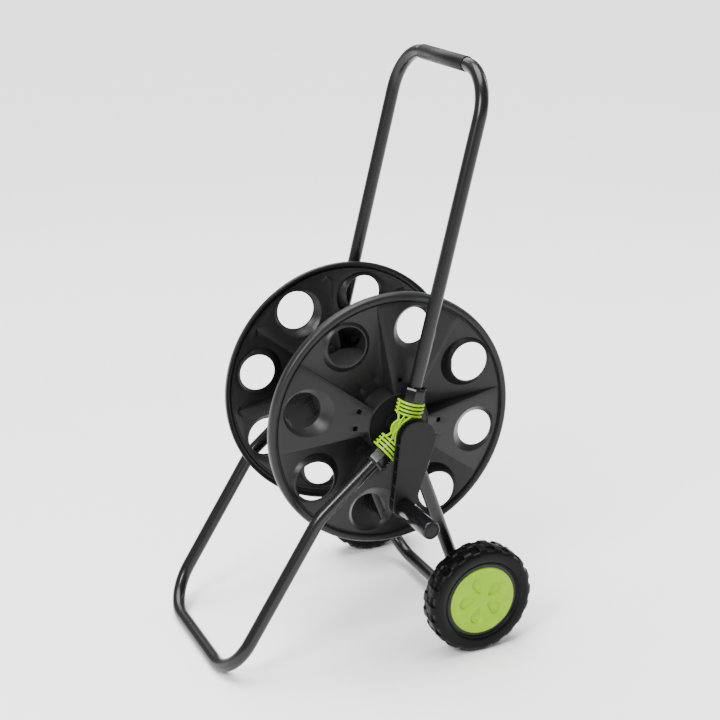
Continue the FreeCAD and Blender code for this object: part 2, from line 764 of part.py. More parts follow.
def crank_arm():
    """Front and back plates on a narrower web, with ribs across the open sides."""
    top = "crank_inner + crank_depth - crank_plate"
    pieces = [
        arm_plate("arm_back", None, "crank_inner", "crank_plate"),
        arm_plate("arm_web", "crank_inset", "crank_inner", "crank_depth"),
        arm_plate("arm_front", None, top, "crank_plate"),
    ]
    for i in range(int(size("crank_ribs"))):
        share = f"({i} + 1) / (crank_ribs + 1)"
        half = f"(crank_head + (crank_tip - crank_head) * {share} - crank_rib_gap)"
        pieces.append(solid("Box", f"arm_rib_{i + 1}",
                            at(f"-{half}", f"-crank_reach * {share} - crank_plate / 2", "crank_inner + 1"),
                            Length=f"2 * {half}", Width="crank_rib_thickness", Height="crank_depth - 2"))
    square = at("-drive_side / 2 - running_gap", "-drive_side / 2 - running_gap")
    socket = solid("Box", "arm_socket",
                   f"{at(z='crank_inner - 1', turn='rotation(vector(0; 0; 1); crank_lean)')} * {square}",
                   Length="drive_side + 2 * running_gap", Width="drive_side + 2 * running_gap",
                   Height="journal_end + drive_length - crank_inner + 1 + fit_gap")
    pin_way = solid("Cylinder", "arm_pin_way", at(y="-crank_reach", z="crank_inner - 1"), Radius="pin_radius",
                    Height="crank_depth + 2")
    pin_sink = solid("Cylinder", "arm_pin_sink", at(y="-crank_reach", z="crank_inner - 1"),
                     Radius="pin_head + fit_gap", Height="crank_plate + 1 + fit_gap")
    return cut("crank_arm", joined("arm_solid", pieces), [socket, pin_way, pin_sink],
               f"{ON_CRANK_SIDE} * {at(turn='rotation(vector(0; 0; 1); -crank_lean)')}")


# The grip's axis stands at the tip of the arm.
GRIP_FRAME = (f"{ON_CRANK_SIDE} * {at(turn='rotation(vector(0; 0; 1); -crank_lean)')} * "
              f"{at(y='-crank_reach', z='crank_inner')}")
node(crank_arm())
PIN_END = "crank_depth + side_gap + grip_length - grip_cap - side_gap"
node(turned("crank_pin", [
    ("0", "0"), ("pin_head", "0"), ("pin_head", "crank_plate"), ("pin_radius", "crank_plate"),
    ("pin_radius", PIN_END), ("0", PIN_END)], GRIP_FRAME))
GRIP_LOW = "crank_depth + side_gap"
GRIP_HIGH = "crank_depth + side_gap + grip_length"
node(turned("crank_grip", [
    ("pin_radius + running_gap", GRIP_LOW), ("grip_root", GRIP_LOW), ("grip_tip", GRIP_HIGH),
    ("grip_tip - grip_cap", GRIP_HIGH), ("grip_tip - grip_cap", f"{GRIP_HIGH} - grip_cap"),
    ("pin_radius + running_gap", f"{GRIP_HIGH} - grip_cap")], GRIP_FRAME))
node(turned("grip_end_cap", [
    ("0", f"{GRIP_HIGH} - grip_cap"), ("grip_tip - grip_cap - running_gap", f"{GRIP_HIGH} - grip_cap"),
    ("grip_tip - grip_cap - running_gap", GRIP_HIGH), ("0", GRIP_HIGH)], GRIP_FRAME))


# ---------------------------------------------------------------- wheels
def wheel_frame(side):
    """The wheel's own frame: Z outwards from the cart, zero at the wheel's inner face."""
    x = f"{WHEEL_PLACE} * sin(rear_lean)"
    z = "wheel_radius"
    if side == "crank_side":
        return at(x, "-wheel_offset", z, "rotation(vector(1; 0; 0); 90)")
    return at(x, "wheel_offset", z, "rotation(vector(1; 0; 0); -90)")


def tyre(side, place):
    """A channel, open to the hub, with a rounded wall and two rows of pockets between tread blocks."""
    name = f"{side}_tyre"
    edge = "shoulder_rise + crown_rise"
    inner = "wheel_radius - tread_depth - tyre_wall"
    ring_body = turned(name + "_ring", [
        ("tyre_bore", "tyre_lip"), ("tyre_bore + bead_width", "tyre_lip - bead_rise"),
        ("wheel_radius - shoulder_width", "0"), ("wheel_radius - crown_width", "shoulder_rise"),
        ("wheel_radius", edge), ("wheel_radius", f"wheel_width - ({edge})"),
        ("wheel_radius - crown_width", "wheel_width - shoulder_rise"),
        ("wheel_radius - shoulder_width", "wheel_width"),
        ("tyre_bore + bead_width", "wheel_width - tyre_lip + bead_rise"),
        ("tyre_bore", "wheel_width - tyre_lip"), ("tyre_bore", "wheel_width - tyre_lip - tyre_wall"),
        (inner, "wheel_width - tyre_lip - tyre_wall"), (inner, "tyre_lip + tyre_wall"),
        ("tyre_bore", "tyre_lip + tyre_wall")])
    pockets = []
    blocks = int(size("tread_blocks"))
    for row in (0, 1):
        for i in range(blocks):
            turn = f"rotation(vector(0; 0; 1); 360 * ({i} + {row} / 2) / tread_blocks)"
            low = "tread_margin" if row == 0 else "wheel_width - tread_margin - tread_pocket_wide"
            spot = f"{at(turn=turn)} * {at('wheel_radius - tread_depth', '-tread_pocket_long / 2', low)}"
            pockets.append(solid("Box", f"{name}_pocket_{row + 1}_{i + 1}", spot, Length="tread_depth + 2",
                                 Width="tread_pocket_long", Height="tread_pocket_wide"))
    return cut(name, ring_body, pockets, place)


def wheel(side):
    """Tyre, hub, bush and cap: they turn together on the axle bolt."""
    place = wheel_frame(side)
    node(tyre(side, place))
    bore = "tyre_bore - running_gap"
    face = "wheel_width - cap_sink"
    top = "wheel_width - boss_sink"
    node(turned(f"{side}_wheel_hub", [
        ("bush_radius", "side_gap"), ("hub_boss", "side_gap"), ("hub_boss", "wheel_width / 2 - hub_web"),
        (f"{bore} - hub_rim", "wheel_width / 2 - hub_web"), (f"{bore} - hub_rim", "hub_margin"),
        (bore, "hub_margin"), (bore, "wheel_width - hub_margin"),
        ("cap_radius + fit_gap", "wheel_width - hub_margin"),
        ("cap_radius + fit_gap", f"{face} - cap_thickness"),
        ("cap_radius - cap_ledge", f"{face} - cap_thickness"),
        ("cap_radius - cap_ledge", "wheel_width / 2"), ("hub_boss", "wheel_width / 2"),
        ("hub_boss", top), ("bush_radius", top)], place))
    node(turned(f"{side}_wheel_bush", [
        ("axle_radius + running_gap", "side_gap"), ("bush_radius", "side_gap"), ("bush_radius", top),
        ("axle_radius + running_gap", top)], place))
    node(turned(f"{side}_wheel_cap", [
        ("0", f"{face} - cap_thickness"), ("cap_radius", f"{face} - cap_thickness"),
        ("cap_radius", f"{face} - cap_edge"), ("cap_radius - cap_slope", face),
        ("0", f"{face} + cap_crown")], place))


def hexagon(name, flat, height, place):
    item = solid("Prism", name, place, Circumradius=f"{flat} / 2 / cos(30)", Height=height)
    item.Polygon = 6
    return item


def axle_set(side):
    """Bolt through the leg, spacer, washer and nut: they stay with the frame."""
    place = wheel_frame(side)
    leg_inner = "leg_plane - tube_radius - wheel_offset"
    leg_outer = "leg_plane + tube_radius - wheel_offset"
    end = "wheel_width - boss_sink + side_gap + washer_thickness"
    head = hexagon(f"{side}_bolt_head", "nut_flat", "bolt_head_height",
                   at(z=f"{leg_inner} - bolt_head_height"))
    shank = solid("Cylinder", f"{side}_bolt_shank", at(z=f"{leg_inner} - 1"), Radius="axle_radius",
                  Height=f"{end} + nut_height + 1 - ({leg_inner} - 1)")
    node(joined(f"{side}_axle_bolt", [head, shank], place))
    node(ring(f"{side}_axle_spacer", "spacer_radius", "axle_radius + running_gap", f"-({leg_outer})",
              f"{place} * {at(z=leg_outer)}"))
    node(ring(f"{side}_axle_washer", "washer_radius", "axle_radius + running_gap", "washer_thickness",
              f"{place} * {at(z='wheel_width - boss_sink + side_gap')}"))
    bore = solid("Cylinder", f"{side}_nut_bore", at(z="-1"), Radius="axle_radius", Height="nut_height + 2")
    node(cut(f"{side}_axle_nut", hexagon(f"{side}_nut_blank", "nut_flat", "nut_height", None), [bore],
             f"{place} * {at(z=end)}"))


for side in ("crank_side", "inlet_side"):
    wheel(side)
    axle_set(side)


# ---------------------------------------------------------------- water way
# Drawn with +Z outwards on the inlet side; the reel's outlet points along the outlet clock angle.
OUTLET_TURN = clock("outlet_clock")


def groove(name, place, width, depth):
    return ring(name, "pipe_radius + 1", f"pipe_radius - {depth}", width, at(z=place))


def water_pipe():
    """A hollow pipe along the reel axis with a branch to the core wall."""
    run = solid("Cylinder", "pipe_run", at(z="pipe_elbow"), Radius="pipe_radius",
                Height="pipe_end - side_gap - pipe_elbow")
    corner = solid("Sphere", "pipe_corner", at(z="pipe_elbow"), Radius="pipe_radius + branch_extra + 1")
    branch = solid("Cylinder", "pipe_branch", at(z="pipe_elbow", turn=OUTLET_TURN),
                   Radius="pipe_radius + branch_extra", Height="outlet_seat")
    run_bore = solid("Cylinder", "pipe_run_bore", at(z="pipe_elbow - pipe_bore"), Radius="pipe_bore",
                     Height="pipe_end")
    branch_bore = solid("Cylinder", "pipe_branch_bore", at(z="pipe_elbow", turn=OUTLET_TURN),
                        Radius="pipe_bore - 1", Height="outlet_seat + 1")
    tools = [run_bore, branch_bore, groove("pipe_lock_groove", "lock_ring_place - side_gap",
                                           "lock_ring_width + 2 * side_gap", "lock_groove_depth")]
    for number, place in enumerate(("ring_first", "ring_second"), start=1):
        tools.append(groove(f"pipe_ring_groove_{number}", f"{place} - ring_section - ring_play",
                            "2 * (ring_section + ring_play)", "(2 * ring_section + running_gap)"))
    return cut("water_pipe", joined("pipe_solid", [run, corner, branch]), tools, ON_INLET_SIDE)


def o_rings(name, radius, places, place):
    rings = [solid("Torus", f"{name}_{i}", at(z=level), Radius1=radius, Radius2="ring_section")
             for i, level in enumerate(places, start=1)]
    if len(rings) == 1:
        return bind(rings[0], Placement=f"{place} * {at(z=places[0])}")
    return joined(name, rings, place)


def nipple(name, place):
    """The male half of a push-on hose connector: seat, neck and nose, with a seal groove."""
    top = "nipple_length"
    seat_radius = "nipple_radius - nose_groove_depth"
    return turned(name, [
        ("pipe_bore - 1", "0"), ("nipple_radius + nipple_flange", "0"),
        ("nipple_radius + nipple_flange", "nipple_flange_height"),
        ("nipple_radius - nipple_neck", "neck_start"), ("nipple_radius - nipple_neck", "neck_end"),
        ("nipple_radius", "neck_shoulder"),
        ("nipple_radius", f"{top} - nose_groove_low"), (seat_radius, f"{top} - nose_groove_low"),
        (seat_radius, f"{top} - nose_groove_high"), ("nipple_radius - nose_lip", f"{top} - nose_groove_high"),
        ("nipple_radius - nose_taper", top), ("pipe_bore - 1", top)], place)


node(water_pipe())
OUTLET_FRAME = f"{ON_INLET_SIDE} * {at(z='pipe_elbow', turn=OUTLET_TURN)}"
seat = hexagon("outlet_seat_hex", "outlet_hex_flat", "outlet_hex_height",
               at(z="core_radius + outlet_hex_gap"))
plug = solid("Cylinder", "outlet_plug", at(z="outlet_seat"), Radius="pipe_radius + branch_extra",
             Height="core_radius + 2 * outlet_hex_gap - outlet_seat")
nose = nipple("outlet_nose", at(z="core_radius + outlet_hex_gap + outlet_hex_height"))
outlet_bore = solid("Cylinder", "outlet_bore", at(z="outlet_seat - 1"), Radius="pipe_bore - 1",
                    Height="core_radius + outlet_hex_height + nipple_length")
outlet_parts = joined("outlet_solid", [seat, plug, nose])
node(cut("outlet_nipple", outlet_parts, [outlet_bore], OUTLET_FRAME))
node(o_rings("inlet_seals", "pipe_radius - ring_section - running_gap / 2", ["ring_first", "ring_second"],
             ON_INLET_SIDE))

core_hole = solid("Cylinder", "core_outlet_hole", OUTLET_FRAME,
                  Radius="pipe_radius + branch_extra + side_gap", Height="core_radius + core_wall")
for number, panel in enumerate(panels, start=1):
    panel.Label = f"panel_blank_{number}"
    finished = cut(f"core_panel_cut_{number}", panel, [core_hole])
    finished.Label = f"core_panel_{number}"
    node(finished)

INLET_DOWN = "rotation(vector(1; 0; 0); -90)"


def inlet_elbow():
    """A cup that turns on the end of the water pipe, with a branch that hangs straight down."""
    middle = "inlet_inner + (pipe_end + inlet_wall - inlet_inner) / 2"
    cup = solid("Cylinder", "inlet_cup", at(z="inlet_inner"), Radius="inlet_radius",
                Height="pipe_end + inlet_wall - inlet_inner")
    branch = solid("Cylinder", "inlet_branch", at(z=middle, turn=INLET_DOWN),
                   Radius="pipe_radius + branch_wall", Height="inlet_drop + 1")
    tip = nipple("inlet_nose", at(y="inlet_drop", z=middle, turn=INLET_DOWN))
    cup_bore = solid("Cylinder", "inlet_cup_bore", at(z="inlet_inner - 1"),
                     Radius="pipe_radius + running_gap", Height="pipe_end - inlet_inner + 1")
    branch_bore = solid("Cylinder", "inlet_branch_bore", at(y="pipe_radius - 1", z=middle, turn=INLET_DOWN),
                        Radius="pipe_bore - 1", Height="inlet_drop + nipple_length")
    slot = ring("inlet_lock_slot", "pipe_radius + lock_ring_depth", "pipe_radius - 1", "lock_ring_width",
                at(z="lock_ring_place"))
    body = joined("inlet_solid", [cup, branch, tip])
    return cut("inlet_elbow", body, [cup_bore, branch_bore, slot], ON_INLET_SIDE)


node(inlet_elbow())
node(ring("inlet_lock_ring", "pipe_radius + lock_ring_depth", "pipe_radius - lock_groove_depth + side_gap",
          "lock_ring_width", f"{ON_INLET_SIDE} * {at(z='lock_ring_place')}"))
SEAL_PLACE = at(y="inlet_drop + nipple_length - (nose_groove_low + nose_groove_high) / 2",
                z="inlet_inner + (pipe_end + inlet_wall - inlet_inner) / 2", turn=INLET_DOWN)
node(solid("Torus", "nipple_seal", f"{ON_INLET_SIDE} * {SEAL_PLACE}",
           Radius1="nipple_radius - nose_groove_depth + nose_seal_section", Radius2="nose_seal_section"))

# ---------------------------------------------------------------- checks and output
doc.recompute()
faulty = [item.Name for item in doc.Objects if "Invalid" in item.State or "Error" in item.State]
if faulty:
    raise RuntimeError(f"objects that failed: {faulty}")
for item in nodes:
    if item.Shape.isNull() or not item.Shape.isValid() or not item.Shape.Solids:
        raise RuntimeError(f"bad shape: {item.Label}")
os.makedirs("parts", exist_ok=True)
for item in nodes:
    item.Shape.exportStep(f"parts/{item.Label}.step")
print(len(nodes), "nodes written")
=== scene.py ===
import json
import math

import bmesh
import bpy
from mathutils import Matrix, Quaternion, Vector


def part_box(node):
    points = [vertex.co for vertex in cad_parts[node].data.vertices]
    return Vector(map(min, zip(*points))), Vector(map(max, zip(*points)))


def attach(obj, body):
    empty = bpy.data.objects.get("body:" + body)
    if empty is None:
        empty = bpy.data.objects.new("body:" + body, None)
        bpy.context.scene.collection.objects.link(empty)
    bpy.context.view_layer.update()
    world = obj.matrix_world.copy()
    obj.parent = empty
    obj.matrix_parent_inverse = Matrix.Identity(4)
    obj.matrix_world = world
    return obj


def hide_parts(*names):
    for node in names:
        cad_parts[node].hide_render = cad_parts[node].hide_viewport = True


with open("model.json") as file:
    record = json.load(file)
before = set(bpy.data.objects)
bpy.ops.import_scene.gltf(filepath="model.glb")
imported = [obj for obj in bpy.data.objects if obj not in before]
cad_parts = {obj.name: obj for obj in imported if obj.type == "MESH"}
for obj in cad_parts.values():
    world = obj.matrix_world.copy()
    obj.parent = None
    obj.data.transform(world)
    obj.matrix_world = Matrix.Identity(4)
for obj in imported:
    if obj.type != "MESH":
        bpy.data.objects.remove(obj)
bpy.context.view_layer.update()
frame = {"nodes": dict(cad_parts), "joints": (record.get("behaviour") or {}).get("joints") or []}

# ---------------------------------------------------------------- bent tubes
# The handle, the foot and the rear legs are each one length of 20 mm round steel tube, bent cold
# to a U that straddles the reel. They are powder coated satin black, which leaves a fine orange
# peel. Their open ends are pushed into the side brackets. Sizes here are in millimetres.
joint_place = {joint["name"]: Vector(joint["pos_m"]) * 1000 for joint in frame["joints"]}
AXLE = joint_place["reel_spin"].z
TUBE = 10
LEG_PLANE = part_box("handle_tube")[1].y * 1000 - TUBE
TUBE_START = 26
HANDLE_LEAN = 14.3
HANDLE_REACH = 527.4
HANDLE_CORNER = 67
REAR_LEAN = 19.8
REAR_REACH = 350
REAR_CORNER = 60
FOOT_LEAN = 50.4
FOOT_LOWER_LEAN = 32.6
FOOT_KNEE = 180
FOOT_CORNER = 62
KNEE_BEND = 70
COAT_CLEARANCE = 0.02


def finish(name, colour, rough, mottle=0.12, grain=900, depth=0.12, patch=35, spread=0.08, sheen=0.5):
    """A moulded, coated or plated surface: soft patches of shade, a fine grain and uneven gloss."""
    material = bpy.data.materials.new(name)
    material.use_nodes = True
    nodes, links = material.node_tree.nodes, material.node_tree.links
    shader = nodes["Principled BSDF"]
    shader.inputs["Specular IOR Level"].default_value = sheen
    place = nodes.new("ShaderNodeTexCoord")
    patches = nodes.new("ShaderNodeTexNoise")
    patches.inputs["Scale"].default_value = patch
    patches.inputs["Detail"].default_value = 5
    links.new(place.outputs["Object"], patches.inputs["Vector"])
    shades = nodes.new("ShaderNodeValToRGB")
    shades.color_ramp.elements[0].position = 0.3
    shades.color_ramp.elements[1].position = 0.7
    shades.color_ramp.elements[0].color = [c * (1 - mottle) for c in colour] + [1]
    shades.color_ramp.elements[1].color = [min(1, c * (1 + mottle)) for c in colour] + [1]
    links.new(patches.outputs["Fac"], shades.inputs["Fac"])
    links.new(shades.outputs["Color"], shader.inputs["Base Color"])
    gloss = nodes.new("ShaderNodeMapRange")
    gloss.inputs["To Min"].default_value = rough - spread
    gloss.inputs["To Max"].default_value = rough + spread
    links.new(patches.outputs["Fac"], gloss.inputs["Value"])
    links.new(gloss.outputs["Result"], shader.inputs["Roughness"])
    fine = nodes.new("ShaderNodeTexNoise")
    fine.inputs["Scale"].default_value = grain
    fine.inputs["Detail"].default_value = 3
    links.new(place.outputs["Object"], fine.inputs["Vector"])
    bump = nodes.new("ShaderNodeBump")
    bump.inputs["Strength"].default_value = depth
    bump.inputs["Distance"].default_value = 0.0004
    links.new(fine.outputs["Fac"], bump.inputs["Height"])
    links.new(bump.outputs["Normal"], shader.inputs["Normal"])
    return material


def build(name, points, faces, material, body, stands_for=(), sharp=35, bevel=0):
    """Make a piece from points in millimetres, smooth it up to a sharp angle and let it ride."""
    mesh = bpy.data.meshes.new(name)
    mesh.from_pydata([Vector(point) / 1000 for point in points], [], faces)
    shape = bmesh.new()
    shape.from_mesh(mesh)
    bmesh.ops.remove_doubles(shape, verts=shape.verts, dist=1e-6)
    bmesh.ops.recalc_face_normals(shape, faces=shape.faces)
    shape.to_mesh(mesh)
    shape.free()
    for face in mesh.polygons:
        face.use_smooth = True
    mesh.set_sharp_from_angle(angle=math.radians(sharp))
    mesh.materials.append(material)
    piece = bpy.data.objects.new(name, mesh)
    bpy.context.scene.collection.objects.link(piece)
    if bevel:
        soften = piece.modifiers.new("soft_edges", "BEVEL")
        soften.width = bevel / 1000
        soften.segments = 3
        soften.limit_method = "ANGLE"
        soften.angle_limit = math.radians(sharp)
        soften.harden_normals = True
    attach(piece, body)
    if stands_for:
        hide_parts(*stands_for)
    return piece


def rounded_line(corners, bends, steps=14):
    """The middle line of a bent bar: straight runs joined by arcs of the given radii."""
    line = [corners[0]]
    for before, corner, after, bend in zip(corners, corners[1:], corners[2:], bends):
        arrive = (corner - before).normalized()
        leave = (after - corner).normalized()
        half = arrive.angle(leave) / 2
        start = corner - arrive * bend * math.tan(half)
        centre = start + (leave - arrive * arrive.dot(leave)).normalized() * bend
        turn_axis = arrive.cross(leave).normalized()
        for i in range(steps + 1):
            line.append(centre + Quaternion(turn_axis, 2 * half * i / steps) @ (start - centre))
    return line + [corners[-1]]


def sweep(line, section):
    """Carry a flat outline (right, up) along a line without twist, and close both ends."""
    points, faces = [], []
    ahead = (line[1] - line[0]).normalized()
    side = ahead.orthogonal().normalized()
    count = len(section)
    for i, spot in enumerate(line):
        after = line[min(i + 1, len(line) - 1)]
        before = line[max(i - 1, 0)]
        heading = (after - before).normalized()
        side = ahead.rotation_difference(heading) @ side
        ahead = heading
        rise = ahead.cross(side)
        points += [spot + side * a + rise * b for a, b in section]
    for i in range(len(line) - 1):
        for j in range(count):
            k = (j + 1) % count
            faces.append((i * count + j, i * count + k, (i + 1) * count + k, (i + 1) * count + j))
    faces.append(tuple(reversed(range(count))))
    faces.append(tuple(range((len(line) - 1) * count, len(line) * count)))
    return points, faces


def round_section(radius, sides=36):
    return [(radius * math.cos(2 * math.pi * i / sides), radius * math.sin(2 * math.pi * i / sides))
            for i in range(sides)]


def along(lean, distance, y):
    """A point on a leg: distance from the reel axis, leaning from straight up towards the wheels."""
    slant = math.radians(lean)
    return Vector((distance * math.sin(slant), y, AXLE + distance * math.cos(slant)))


powder_coat = finish("powder_coat", (0.005, 0.005, 0.0055), 0.25, mottle=0.06, grain=700,
                     depth=0.07, spread=0.02, sheen=0.32)


def plain_loop(lean, reach):
    """The corners of a tube that runs straight out, across and back."""
    return [along(lean, distance, y) for distance, y in
            ((TUBE_START, -LEG_PLANE), (reach, -LEG_PLANE), (reach, LEG_PLANE), (TUBE_START, LEG_PLANE))]


knee = along(180 + FOOT_LEAN, FOOT_KNEE, -LEG_PLANE)
drop = knee.z - TUBE
bar_corner = knee + Vector((-drop * math.tan(math.radians(FOOT_LOWER_LEAN)), 0, -drop))
near_leg = [along(180 + FOOT_LEAN, TUBE_START, -LEG_PLANE), knee, bar_corner]
far_leg = [Vector((p.x, -p.y, p.z)) for p in reversed(near_leg)]
frame_tubes = {
    "handle_tube": (plain_loop(HANDLE_LEAN, HANDLE_REACH), [HANDLE_CORNER] * 2),
    "rear_leg_tube": (plain_loop(180 - REAR_LEAN, REAR_REACH), [REAR_CORNER] * 2),
    "foot_tube": (near_leg + far_leg, [KNEE_BEND, FOOT_CORNER, FOOT_CORNER, KNEE_BEND]),
}
for name, (corners, bends) in frame_tubes.items():
    points, faces = sweep(rounded_line(corners, bends), round_section(TUBE - COAT_CLEARANCE))
    build(name + "_coated", points, faces, powder_coat, "frame", [name])

# ---------------------------------------------------------------- hand grip
# A thin plastic sleeve, pushed over the bar before the handle is bent. Its ends are rounded over.
GRIP_HALF = 68
GRIP_RADIUS = 11.3
GRIP_ROUND = 0.6


def turn(profile, frame_place, sides=64):
    """Turn a closed outline (radius, height) about the Z axis of a frame."""
    points, faces = [], []
    count = len(profile)
    for i in range(sides):
        angle = 2 * math.pi * i / sides
        points += [frame_place @ Vector((r * math.cos(angle), r * math.sin(angle), h)) for r, h in profile]
    for i in range(sides):
        for j in range(count):
            k = (j + 1) % count
            n = (i + 1) % sides
            faces.append((i * count + j, n * count + j, n * count + k, i * count + k))
    return points, faces


sleeve_plastic = finish("sleeve_plastic", (0.005, 0.005, 0.0055), 0.4, grain=1500, depth=0.2, sheen=0.18)
bar_middle = along(HANDLE_LEAN, HANDLE_REACH, 0)
bar_frame = Matrix.Translation(bar_middle) @ Matrix.Rotation(-math.pi / 2, 4, "X")
sleeve_outline = [(TUBE + 0.05, -GRIP_HALF), (GRIP_RADIUS - 0.5, -GRIP_HALF),
                  (GRIP_RADIUS, -GRIP_HALF + GRIP_ROUND), (GRIP_RADIUS, GRIP_HALF - GRIP_ROUND),
                  (GRIP_RADIUS - 0.5, GRIP_HALF), (TUBE + 0.05, GRIP_HALF)]
points, faces = turn(sleeve_outline, bar_frame)
build("handle_sleeve", points, faces, sleeve_plastic, "frame", ["handle_grip"], sharp=60)

# ---------------------------------------------------------------- side brackets
# Each is one glossy black moulding: a bearing boss for the reel with three tube sockets round it.
# Every socket ends in an eight-sided collar with a lip, where a screw holds the tube.
MIRROR = Matrix.Scale(-1, 4, (0, 1, 0))
OUTWARDS = Matrix.Rotation(math.pi / 2, 4, "X")
SIDES = {
    "crank_side": Matrix.Translation((0, 0, AXLE)) @ OUTWARDS,
    "inlet_side": Matrix.Translation((0, 0, AXLE)) @ MIRROR @ OUTWARDS,
}
LEGS = {"handle": HANDLE_LEAN, "rear_leg": 180 - REAR_LEAN, "foot": 180 + FOOT_LEAN}
BOSS_LOW = 121
BOSS_HIGH = 152
BOSS_RADIUS = 24.5
BEARING = 15.1
SOCKET_RADIUS = 16
SOCKET_LOW = 21
COLLAR_FLAT = 17.4
COLLAR_LOW = 45
COLLAR_HIGH = 67

gloss_plastic = finish("gloss_plastic", (0.0035, 0.0035, 0.004), 0.18, grain=260, depth=0.05,
                       spread=0.04, sheen=0.28)


def socket_frame(side, leg):
    """A frame with Z along a leg's line, X across the cart and -Y outwards along the reel axis."""
    lean = math.radians(LEGS[leg])
    up = Vector((math.sin(lean), math.cos(lean), 0))
    out = Vector((0, 0, 1))
    across = up.cross(out)
    basis = Matrix((across, -out, up)).transposed().to_4x4()
    return SIDES[side] @ Matrix.Translation((0, 0, LEG_PLANE)) @ basis


def prism(outline, levels, place):
    """Stack copies of an outline, each at (height, scale), into a closed solid."""
    points, faces = [], []
    count = len(outline)
    for height, scale in levels:
        points += [place @ Vector((x * scale, y * scale, height)) for x, y in outline]
    for i in range(len(levels) - 1):
        for j in range(count):
            k = (j + 1) % count
            faces.append((i * count + j, i * count + k, (i + 1) * count + k, (i + 1) * count + j))
    faces.append(tuple(range(count)))
    faces.append(tuple(range((len(levels) - 1) * count, len(levels) * count)))
    return points, faces


def merge(*shells):
    """Put several closed shells in one mesh: they are one moulding."""
    points, faces = [], []
    for shell_points, shell_faces in shells:
        start = len(points)
        points += shell_points
        faces += [tuple(start + i for i in face) for face in shell_faces]
    return points, faces


eight = []
for i in range(8):
    angle = math.radians(22.5 + 45 * i)
    eight.append((COLLAR_FLAT / math.cos(math.pi / 8) * math.cos(angle),
                  COLLAR_FLAT / math.cos(math.pi / 8) * math.sin(angle)))
boss_outline = [(BEARING, BOSS_LOW), (BOSS_RADIUS - 1, BOSS_LOW), (BOSS_RADIUS, BOSS_LOW + 1),
                (BOSS_RADIUS, BOSS_HIGH - 1.2), (BOSS_RADIUS - 1.2, BOSS_HIGH),
                (BEARING + 1.2, BOSS_HIGH), (BEARING, BOSS_HIGH - 1.2)]
socket_outline = [(0.01, SOCKET_LOW), (SOCKET_RADIUS, SOCKET_LOW),
                  (SOCKET_RADIUS, COLLAR_LOW + 1), (0.01, COLLAR_LOW + 1)]
collar_levels = [(COLLAR_LOW, 0.93), (COLLAR_LOW + 1.6, 1), (COLLAR_HIGH - 6, 1),
                 (COLLAR_HIGH - 1.4, 0.97), (COLLAR_HIGH - 0.5, 0.94), (COLLAR_HIGH, 0.9),
                 (COLLAR_HIGH, 0.66), (COLLAR_HIGH - 2.5, 0.6)]
for side, side_frame in SIDES.items():
    shells = [turn(boss_outline, side_frame)]
    for leg in LEGS:
        place = socket_frame(side, leg)
        shells += [turn(socket_outline, place), prism(eight, collar_levels, place)]
    points, faces = merge(*shells)
    build(side + "_bracket_moulding", points, faces, gloss_plastic, "frame",
          [side + "_bracket"], sharp=30, bevel=0.5)

# ---------------------------------------------------------------- ribbed clips
# A springy lime clip hugs the handle socket and the foot socket with four round ribs each. A waist
# of two strands with a crossed web and a leaf-shaped ear joins them past the reel axis.
RIB_RADIUS = 18.1
RIB_START = 26.8
RIB_PITCH = 5.6
POST_RADIUS = 20.2
lime_plastic = finish("lime_plastic", (0.225, 0.42, 0.0), 0.26, mottle=0.06, grain=900, depth=0.05,
                      patch=60, sheen=0.16)


def rod_section(wide, high):
    """A rounded bar's outline, fuller than an ellipse."""
    outline = []
    for i in range(14):
        angle = 2 * math.pi * i / 14
        c, s = math.cos(angle), math.sin(angle)
        outline.append((wide * math.copysign(abs(c) ** 0.75, c), high * math.copysign(abs(s) ** 0.75, s)))
    return outline


def rib(place, distance, first, last, flare):
    """A rib round a socket from one angle to another; 0 points outwards, negative is the left side."""
    line = []
    for i in range(25):
        angle = math.radians(first + (last - first) * i / 24)
        radius = RIB_RADIUS + flare * max(0, 1 - i / 4)
        line.append(place @ Vector((radius * math.sin(angle), -radius * math.cos(angle), distance)))
    return sweep(line, rod_section(1.75, 1.75))


def curve_line(stops, steps=8):
    """A smooth line through the stops."""
    line = []
    padded = [stops[0] * 2 - stops[1]] + stops + [stops[-1] * 2 - stops[-2]]
    for a, b, c, d in zip(padded, padded[1:], padded[2:], padded[3:]):
        for i in range(steps):
            t = i / steps
            line.append(0.5 * (2 * b + (c - a) * t + (2 * a - 5 * b + 4 * c - d) * t * t
                               + (3 * b - 3 * c + d - a) * t ** 3))
    return line + [stops[-1]]


def flat_spot(angle, radius):
    return radius * math.cos(math.radians(angle)), radius * math.sin(math.radians(angle))


